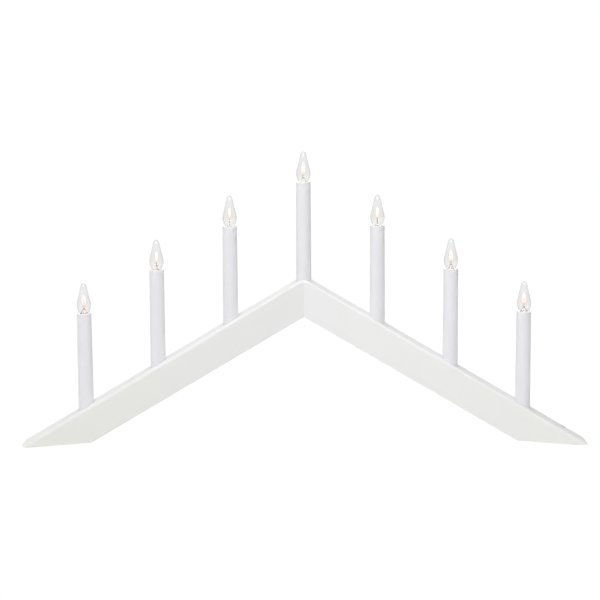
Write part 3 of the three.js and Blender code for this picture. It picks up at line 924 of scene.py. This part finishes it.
inlet_low, inlet_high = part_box("cord_inlet")
INLET_CENTRE = Vector(((inlet_low.x + inlet_high.x) / 2, REAR_Y, (inlet_low.z + inlet_high.z) / 2))
BEHIND = Vector((0, CUT_OVERRUN, 0))
FACING_REAR = Matrix.Rotation(-math.pi / 2, 4, "X")


def screw_places():
    """Points on the right cover's outer face where its screws sit."""
    end_x = rim_of(LAST_LAMP).x
    spots = [share * end_x for share in SCREW_SHARES]
    return [Vector((x, REAR_Y, groove_z(x))) for x in spots]


def screw_head(place):
    """A countersunk head, level with the rear face, with a cross recess."""
    profile = [
        (0, -SCREW_DEPTH),
        (SCREW_TIP_SHARE * SCREW_RADIUS, -SCREW_DEPTH),
        (SCREW_RADIUS, -SCREW_LAND),
        (SCREW_RADIUS, -SCREW_CROWN),
        (CROWN_MIDDLE_SHARE * SCREW_RADIUS, -CROWN_MIDDLE_DEPTH),
        (0, 0),
    ]
    span = RECESS_SPAN_SHARE * SCREW_RADIUS
    width = RECESS_WIDTH_SHARE * SCREW_RADIUS
    recess = [block(span, width, 2 * RECESS_DEPTH), block(width, span, 2 * RECESS_DEPTH)]
    head = carved(turned(profile, SMALL_STEPS), recess)
    return moved(head, Matrix.Translation(place) @ FACING_REAR)


def cover_screws():
    return joined([screw_head(place) for place in screw_places()])


def groove_cover(has_inlet):
    shape = rear_slot(COVER_WIDTH, COVER_THICKNESS, 0)
    sliced(shape, (SEAM_GAP / 2, 0, 0), (1, 0, 0))
    tidied(shape)
    outer = [edge for edge in shape.edges if all(vert.co.y > REAR_Y - WELD for vert in edge.verts)]
    bevel(shape, outer, EASED_EDGE, EASED_STEPS)
    cutters = [rod(p - BEHIND, p + BEHIND, SCREW_RADIUS + SNUG_GAP, SMALL_STEPS) for p in screw_places()]
    if has_inlet:
        outside = INLET_CENTRE + BEHIND
        ledge = INLET_CENTRE - Vector((0, INLET_FLANGE_THICKNESS + SNUG_GAP, 0))
        cutters.append(rod(INLET_CENTRE - BEHIND, outside, INLET_RADIUS + SNUG_GAP, SMALL_STEPS))
        cutters.append(rod(ledge, outside, INLET_FLANGE_RADIUS + 2 * SNUG_GAP, TURN_STEPS))
    return carved(shape, cutters)


def inlet_bush():
    """A flanged bush with a rounded mouth, its axis along Y."""
    profile = [
        (INLET_BORE_RADIUS, -INLET_LENGTH),
        (INLET_RADIUS, -INLET_LENGTH),
        (INLET_RADIUS, -INLET_FLANGE_THICKNESS),
        (INLET_FLANGE_RADIUS, -INLET_FLANGE_THICKNESS),
    ]
    profile += arc((INLET_FLANGE_RADIUS - INLET_ROUND, -INLET_ROUND), INLET_ROUND, 0, 90, INLET_STEPS)
    profile += arc((INLET_BORE_RADIUS + INLET_ROUND, -INLET_ROUND), INLET_ROUND, 90, 180, INLET_STEPS)
    profile.append(profile[0])
    return moved(turned(profile, TURN_STEPS), Matrix.Translation(INLET_CENTRE) @ FACING_REAR)


painted_pair("cover", "groove_cover", groove_cover(True), mirrored(groove_cover(False)))
piece("cover_screws_right", cover_screws(), screw_steel, "frame")
piece("cover_screws_left", mirrored(cover_screws()), screw_steel, "frame")
piece("inlet_bush", inlet_bush(), inlet_plastic, "frame", ["cord_inlet"])


# Candle tubes and lamp holders

def candle_tube():
    profile = [(TUBE_FOOT_RADIUS, -TUBE_LENGTH)]
    profile += arc((TUBE_TOP_RADIUS - TUBE_RIM_ROUND, -TUBE_RIM_ROUND), TUBE_RIM_ROUND, 0, 90, RIM_STEPS)
    profile += arc((TUBE_LIP_RADIUS + TUBE_LIP_ROUND, -TUBE_LIP_ROUND), TUBE_LIP_ROUND, 90, 180, LIP_STEPS)
    profile.append((TUBE_LIP_RADIUS, -TUBE_LIP_THICKNESS))
    profile.append((TUBE_TOP_RADIUS - TUBE_WALL, -TUBE_LIP_THICKNESS))
    profile.append((TUBE_FOOT_RADIUS - TUBE_WALL, -TUBE_LENGTH))
    profile.append(profile[0])
    return turned(profile, TURN_STEPS)


def lamp_holder():
    top = -TUBE_LIP_THICKNESS - SEAM_GAP
    step = HOLDER_TAIL - HOLDER_DEPTH
    tail_radius = HOLDER_RADIUS - HOLDER_STEP
    profile = [
        (0, -HOLDER_DEPTH),
        (tail_radius - HOLDER_CHAMFER, -HOLDER_DEPTH),
        (tail_radius, -HOLDER_DEPTH + HOLDER_CHAMFER),
        (tail_radius, step),
        (HOLDER_RADIUS, step),
        (HOLDER_RADIUS, top - HOLDER_CHAMFER),
        (HOLDER_RADIUS - HOLDER_CHAMFER, top),
        (HOLDER_BORE_RADIUS + HOLDER_CHAMFER, top),
        (HOLDER_BORE_RADIUS, top - HOLDER_CHAMFER),
        (HOLDER_BORE_RADIUS, -HOLDER_FLOOR_DEPTH),
        (0, -HOLDER_FLOOR_DEPTH),
    ]
    return turned(profile, TURN_STEPS)


# Lamps

def draw_ring(shape, edges, radius, height):
    """Draws an open round edge out to a new ring and gives back the ring's edges."""
    drawn = bmesh.ops.extrude_edge_only(shape, edges=edges)["geom"]
    for vert in drawn:
        if isinstance(vert, bmesh.types.BMVert):
            out = Vector((vert.co.x, vert.co.y, 0)).normalized() * radius
            vert.co = Vector((out.x, out.y, height))
    return [edge for edge in edges_of(drawn) if edge.is_boundary]


def boundary_near(shape, height):
    edges = [edge for edge in shape.edges if edge.is_boundary]
    return [edge for edge in edges if all(abs(vert.co.z - height) < WELD for vert in edge.verts)]


def screw_cap():
    """A thin brass cap: a rolled thread, a flared rim above it and a floor with a hole for the contact."""
    thread_low = CAP_FLOOR + THREAD_ABOVE_FLOOR
    thread_high = -CAP_TOP_DEPTH - THREAD_BELOW_RIM
    start = thread_low - 2 * THREAD_PITCH
    count = THREAD_STEPS * math.ceil((thread_high - start) / THREAD_PITCH + 1)
    middle = (THREAD_MAJOR_RADIUS + THREAD_MINOR_RADIUS) / 2
    swing = (THREAD_MAJOR_RADIUS - THREAD_MINOR_RADIUS) / 2
    profile = []
    for step in range(count + 1):
        wave = math.cos(2 * math.pi * step / THREAD_STEPS)
        profile.append((middle + swing * wave, start + THREAD_PITCH * step / THREAD_STEPS))
    shape = turned(profile, SMALL_STEPS, THREAD_PITCH)
    parted(shape, (0, 0, thread_low), (0, 0, 1), clear_inner=True)
    parted(shape, (0, 0, thread_high), (0, 0, 1), clear_outer=True)
    ring = draw_ring(shape, boundary_near(shape, thread_high), middle, thread_high + CAP_FLARE_START)
    draw_ring(shape, ring, CAP_RIM_RADIUS, -CAP_TOP_DEPTH)
    ring = draw_ring(shape, boundary_near(shape, thread_low), middle, CAP_FLOOR + CAP_SHOULDER_HEIGHT)
    ring = draw_ring(shape, ring, middle - CAP_SHOULDER_WIDTH, CAP_FLOOR)
    draw_ring(shape, ring, CONTACT_RADIUS, CAP_FLOOR)
    return tidied(shape)


def end_contact():
    """A solder button with a domed face and a shank up into the cap."""
    dome = CONTACT_DEPTH + CAP_FLOOR
    angles = [math.radians(90 * step / DOME_STEPS) for step in range(DOME_STEPS + 1)]
    profile = [(CONTACT_RADIUS * math.sin(a), CAP_FLOOR - dome * math.cos(a)) for a in angles]
    profile.append((CONTACT_SHANK_SHARE * CONTACT_RADIUS, CAP_FLOOR + CONTACT_SHANK_HEIGHT))
    profile.append((0, CAP_FLOOR + CONTACT_PEAK_HEIGHT))
    return turned(profile, SMALL_STEPS)


def lamp_glass():
    profile = [(GLASS_NECK_RADIUS, -CAP_TOP_DEPTH - GLASS_NECK_LENGTH), (GLASS_NECK_RADIUS, -CAP_TOP_DEPTH)]
    profile += [(radius * GLASS_RADIUS, height * GLASS_HEIGHT) for radius, height in FLAME_OUTLINE]
    return turned(profile, SMALL_STEPS)


def lamp_legs(number):
    """Two bent support wires that pinch together in the bead and hold the coil's ends."""
    shapes = []
    for side in (-1, 1):
        points = [
            (side * LEG_NECK, 0, CAP_FLOOR + LEG_ABOVE_FLOOR),
            (side * LEG_NECK, 0, -CAP_TOP_DEPTH),
            (side * LEG_SPREAD, 0, 0),
            (side * LEG_BEND_SHARE * LEG_SPREAD, 0, LEG_BEND_HEIGHT),
            (side * LEG_PINCH, 0, BEAD_HEIGHT),
            (side * COIL_END_SHARE * FILAMENT_HALF_WIDTH, COIL_RADIUS, FILAMENT_START + LEG_INTO_COIL),
        ]
        line = rounded_bends([Vector(point) for point in points])
        shapes.append(wire(line, LEG_RADIUS, f"leg_{number}", LEG_ROUNDNESS))
    return joined(shapes)


def lamp_bead():
    """A barrel of glass across the two legs."""
    half = BEAD_LENGTH / 2
    end_radius = BEAD_END_SHARE * BEAD_RADIUS
    barrel = BEAD_BARREL_SHARE * half
    profile = [(0, -half), (end_radius, -half), (BEAD_RADIUS, -barrel)]
    profile += [(BEAD_RADIUS, barrel), (end_radius, half), (0, half)]
    shape = turned(profile, SMALL_STEPS)
    return moved(shape, Matrix.Translation((0, 0, BEAD_HEIGHT)) @ Matrix.Rotation(math.pi / 2, 4, "Y"))


def filament_line(share):
    """The coil's middle line: a narrow arch from one leg up and over to the other."""
    angle = math.pi * (1 - share)
    rise = math.sin(angle) ** ARCH_POWER
    spread = math.sin(math.pi * min(1, rise / FULL_WIDTH_RISE) / 2)
    x = FILAMENT_HALF_WIDTH * math.cos(angle) * (COIL_END_SHARE + (1 - COIL_END_SHARE) * spread)
    return Vector((x, 0, FILAMENT_START + (FILAMENT_TOP - FILAMENT_START) * rise))


def filament_coil(number):
    count = COIL_TURNS * COIL_STEPS
    side = Vector((0, 1, 0))
    points = []
    for step in range(count + 1):
        share = step / count
        ahead = filament_line(min(1, share + COIL_LOOK))
        back = filament_line(max(0, share - COIL_LOOK))
        across = (ahead - back).normalized().cross(side)
        angle = 2 * math.pi * step / COIL_STEPS
        around = math.cos(angle) * side + math.sin(angle) * across
        points.append(filament_line(share) + COIL_RADIUS * around)
    return wire(points, COIL_WIRE_RADIUS, f"coil_{number}")


def add_wall(made, thickness):
    """Gives an open shell its wall, inwards."""
    step = made.modifiers.new("wall", "SOLIDIFY")
    step.thickness = thickness
    step.offset = -1


def add_smoothing(made, levels):
    step = made.modifiers.new("smoothing", "SUBSURF")
    step.levels = levels
    step.render_levels = levels


def dress_candle(number):
    rim = rim_of(number)
    place = Matrix.Translation(rim)
    turned_place = place @ Matrix.Rotation(LAMP_TURNS[number - FIRST_LAMP], 4, "Z")
    bulb = f"bulb_{number}"
    carrier = f"bulb_contact_{number}"
    piece(f"tube_{number}", moved(candle_tube(), place), tube_plastic, "frame",
          [f"candle_tube_{number}"])
    piece(f"holder_{number}", moved(lamp_holder(), place), holder_plastic, "frame",
          [f"lamp_holder_{number}"])
    cap = piece(f"lamp_cap_{number}", moved(screw_cap(), place), brass, bulb,
                [f"bulb_cap_{number}"])
    add_wall(cap, CAP_WALL)
    piece(f"lamp_contact_{number}", moved(end_contact(), place), solder, carrier,
          [f"bulb_contact_{number}"])
    glass = clear_glass(f"lamp_clear_glass_{number}", rim.z)
    envelope = piece(f"lamp_glass_{number}", moved(lamp_glass(), place), glass, bulb,
                     [f"bulb_glass_{number}"])
    add_wall(envelope, GLASS_WALL)
    add_smoothing(envelope, levels=2)
    piece(f"lamp_legs_{number}", moved(lamp_legs(number), turned_place), nickel, bulb,
          [f"bulb_filament_{number}"])
    bead = piece(f"lamp_bead_{number}", moved(lamp_bead(), turned_place), bead_glass, bulb)
    add_smoothing(bead, levels=1)
    tungsten = glowing_tungsten(f"glowing_tungsten_{number}", rim.z)
    piece(f"lamp_coil_{number}", moved(filament_coil(number), turned_place), tungsten, bulb)


for number in LAMP_NUMBERS:
    dress_candle(number)


# CAD pieces that stay as they are, out of sight: leads and dowels

for name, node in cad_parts.items():
    if name.endswith("_lead") or name.startswith("link_lead"):
        node.data.materials.clear()
        node.data.materials.append(lead_plastic)
    elif name.startswith("mitre_dowel"):
        node.data.materials.clear()
        node.data.materials.append(beech)


# Floor, light and camera

WHITE_OUT = 1.02
BEHIND_GLASS = (0.862, 0.864, 0.86, 1)
FLOOR_SIZE = 6.0
FLOOR_DROP = 0.2 * MM
FLOOR_COLOUR = (0.85, 0.85, 0.85, 1)
FLOOR_ROUGHNESS = 0.9
SKY_LEFT = 0.503
SKY_BEHIND = 0.392
# The reach of a direction's coordinate
WHOLE_SKY = (-1, 1)
KEY_PLACE = Vector((0, -1.6, 2.4))
KEY_AIM = Vector((0, 0, 0.15))
KEY_SIZE = 3.2
KEY_POWER = 61
OVERHEAD_PLACE = Vector((-0.05, -0.1, 0.8))
OVERHEAD_AIM = Vector((-0.05, -0.1, 0))
OVERHEAD_SIZE = 0.7
OVERHEAD_POWER = 0.98
FILAMENT_LIGHT_HEIGHT = 11 * MM
FILAMENT_LIGHT_RADIUS = 1.5 * MM
FILAMENT_LIGHT_POWER = 0.0045
FILAMENT_LIGHT_COLOUR = (1, 0.76, 0.58)


def plain_light(tree, colour, strength):
    return fed_node(tree, "ShaderNodeEmission", Color=colour, Strength=strength).outputs["Emission"]


def seen_white(tree, lit_shader, output):
    """Shows white to the camera, a pale grey through glass and the lit shader to every other ray."""
    grey = plain_light(tree, BEHIND_GLASS, strength=1)
    white = plain_light(tree, WHITE, WHITE_OUT)
    through_glass = for_rays(tree, "Is Transmission Ray", grey, lit_shader)
    tree.links.new(for_rays(tree, "Is Camera Ray", white, through_glass), output)


def add_floor():
    shape = bmesh.new()
    bmesh.ops.create_grid(shape, x_segments=1, y_segments=1, size=FLOOR_SIZE / 2)
    floor = loose_object(moved(shape, Matrix.Translation((0, 0, -FLOOR_DROP))), "floor")
    finish = Finish("pale_floor")
    finish.give(Base_Color=FLOOR_COLOUR, Roughness=FLOOR_ROUGHNESS)
    surface = finish.tree.nodes["Material Output"].inputs["Surface"]
    seen_white(finish.tree, finish.shader.outputs["BSDF"], surface)
    floor.data.materials.append(finish.material)


def add_sky():
    """A white surround, brightest on the left and behind."""
    world = bpy.data.worlds.new("white_surround")
    bpy.context.scene.world = world
    world.use_nodes = True
    tree = world.node_tree
    direction = tree.nodes.new("ShaderNodeTexCoord").outputs["Generated"]
    from_left = mapped(tree, coordinate(tree, direction, "X"), WHOLE_SKY, (SKY_LEFT, 0))
    from_behind = mapped(tree, coordinate(tree, direction, "Y"), WHOLE_SKY, (0, SKY_BEHIND))
    sky = tree.nodes["Background"]
    feed(tree, sky.inputs["Color"], WHITE)
    feed(tree, sky.inputs["Strength"], reckoned(tree, "ADD", from_left, from_behind))
    seen_white(tree, sky.outputs["Background"], tree.nodes["World Output"].inputs["Surface"])


def add_light(name, place, aim, size, power):
    """A square soft light that the camera doesn't see."""
    light = bpy.data.lights.new(name, "AREA")
    light.shape = "SQUARE"
    light.size = size
    light.energy = power
    lamp = bpy.data.objects.new(name, light)
    lamp.location = place
    lamp.rotation_euler = (aim - place).to_track_quat("-Z", "Y").to_euler()
    lamp.visible_camera = False
    bpy.context.scene.collection.objects.link(lamp)


def add_filament_light(number):
    """The light that a lit filament throws on its legs, its cap and the tube's rim."""
    light = bpy.data.lights.new(f"filament_{number}", "POINT")
    light.energy = FILAMENT_LIGHT_POWER
    light.color = FILAMENT_LIGHT_COLOUR
    light.shadow_soft_size = FILAMENT_LIGHT_RADIUS
    lamp = bpy.data.objects.new(f"filament_{number}", light)
    lamp.location = rim_of(number) + Vector((0, 0, FILAMENT_LIGHT_HEIGHT))
    lamp.visible_camera = False
    lamp.visible_glossy = False
    lamp.visible_transmission = False
    bpy.context.scene.collection.objects.link(lamp)


def add_camera():
    data = bpy.data.cameras.new("camera")
    data.lens = CAMERA_LENS
    data.shift_x, data.shift_y = CAMERA_SHIFT
    camera = bpy.data.objects.new("camera", data)
    place = Matrix.Translation((CAMERA_SIDE, -CAMERA_DISTANCE, CAMERA_HEIGHT))
    tilt = Matrix.Rotation(math.pi / 2 - CAMERA_PITCH, 4, "X")
    camera.matrix_world = place @ tilt @ Matrix.Rotation(CAMERA_ROLL, 4, "Z")
    bpy.context.scene.collection.objects.link(camera)
    bpy.context.scene.camera = camera


add_floor()
add_sky()
add_light("key", KEY_PLACE, KEY_AIM, KEY_SIZE, KEY_POWER)
add_light("overhead", OVERHEAD_PLACE, OVERHEAD_AIM, OVERHEAD_SIZE, OVERHEAD_POWER)
for number in LAMP_NUMBERS:
    add_filament_light(number)
add_camera()
bpy.context.scene.view_settings.view_transform = "Standard"
